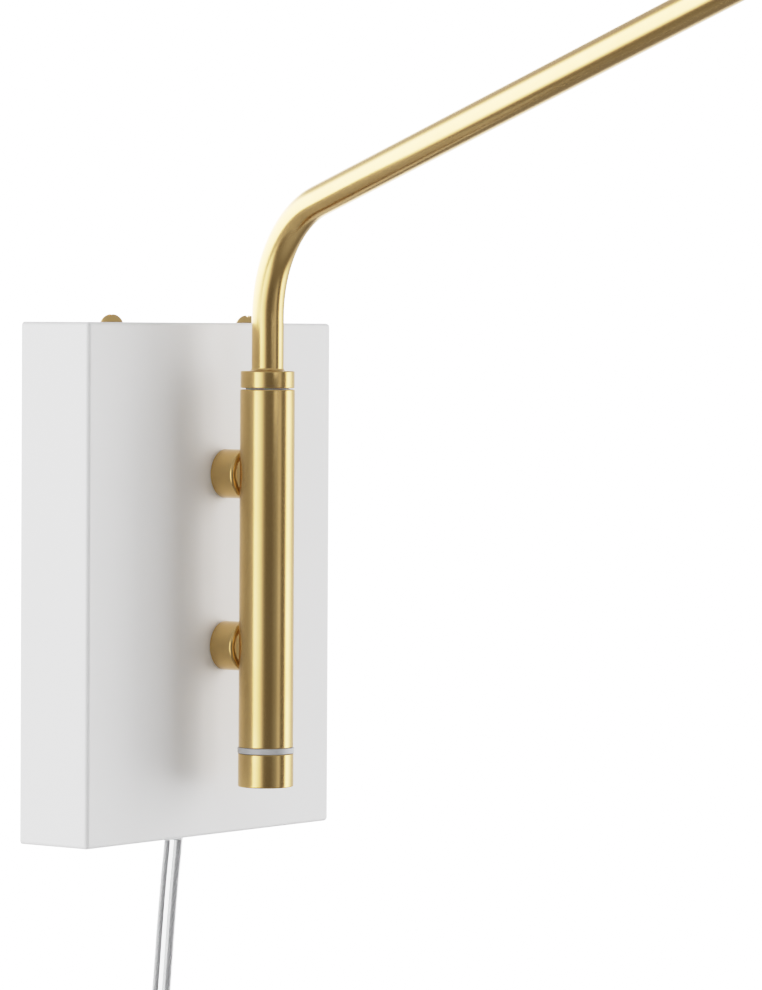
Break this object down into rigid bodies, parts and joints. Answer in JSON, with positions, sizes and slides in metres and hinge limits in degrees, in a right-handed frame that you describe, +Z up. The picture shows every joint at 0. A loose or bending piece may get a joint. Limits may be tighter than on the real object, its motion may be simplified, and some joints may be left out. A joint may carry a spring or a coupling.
{
  "type": "swing arm wall sconce",
  "caption": "Plug-in wall light: a white box cover holds a vertical brass barrel on standoffs; a bent brass arm swings in it and carries a tilting cone shade.",
  "frame": {"origin": "on the wall behind the middle of the box cover, in the back face of the wall bracket", "axes": "+X to the right seen from the room, +Y into the wall, +Z up"},
  "size_m": [0.2635, 0.5456, 0.6881],
  "materials": {
    "white_coat": "satin powder coat",
    "brass": "brushed, clear lacquer",
    "zinc_steel": "zinc plated",
    "nickel": "nickel plated",
    "white_nylon": "satin",
    "clear_cord": "clear PVC over stranded conductors",
    "clear_plug": "clear moulded PVC",
    "wire_sleeve": "matte",
    "wire_cap": "gloss",
    "phenolic": "moulded",
    "black_knob": "gloss",
    "frosted_glass": "frosted",
    "tie_strap": "woven strap"
  },
  "bodies": {
    "wall_unit": {"box_cover": "white_coat", "wall_bracket": "zinc_steel", "cover_screws": "brass", "stiffener_plate": "zinc_steel", "standoff_upper": "brass", "standoff_lower": "brass", "standoff_nipple": "brass", "nipple_washer": "zinc_steel", "nipple_nut": "zinc_steel", "standoff_washer": "zinc_steel", "standoff_screw": "zinc_steel", "barrel": "brass", "upper_bush": "white_nylon", "lower_bush": "white_nylon", "friction_washer": "zinc_steel", "cord_grommet": "white_nylon", "cord_tail": "clear_cord", "wire_caps": "wire_cap", "box_leads": "wire_sleeve", "cord_lead": "clear_cord", "cord_hank": "clear_cord", "cord_end": "clear_cord", "cord_tie": "tie_strap", "plug_body": "clear_plug", "plug_blades": "nickel"},
    "arm": {"swivel_collar": "brass", "spindle": "brass", "stop_pin": "zinc_steel", "spring_washer": "zinc_steel", "spindle_nut": "zinc_steel", "end_cap": "brass", "arm_tube": "brass", "arm_wires": "wire_sleeve", "knuckle_fork": "brass", "pivot_screw": "brass", "pivot_nut": "brass", "tilt_washers": "white_nylon"},
    "head": {"knuckle_tongue": "brass", "stem_nut": "zinc_steel", "socket_cup": "brass", "lamp_socket": "phenolic", "socket_leads": "wire_sleeve", "shade": "white_coat", "shade_ring": "phenolic", "bulb_base": "nickel", "bulb_glass": "frosted_glass"},
    "switch_knob": {"switch_stem": "brass", "switch_knob": "black_knob"}
  },
  "joints": [
    {"name": "arm_swing", "type": "hinge", "parent": "wall_unit", "child": "arm", "pos_m": [0.0077, -0.0552, 0], "axis": [0, 0, 1], "range_deg": [-63.5, 96.5]},
    {"name": "shade_tilt", "type": "hinge", "parent": "arm", "child": "head", "pos_m": [-0.11663, -0.47495, 0.26495], "axis": [-0.9588, 0.284, 0], "range_deg": [-25, 75]},
    {"name": "switch_turn", "type": "hinge", "parent": "head", "child": "switch_knob", "pos_m": [-0.11663, -0.47495, 0.21495], "axis": [-0.9588, 0.284, 0], "continuous": true}
  ]
}
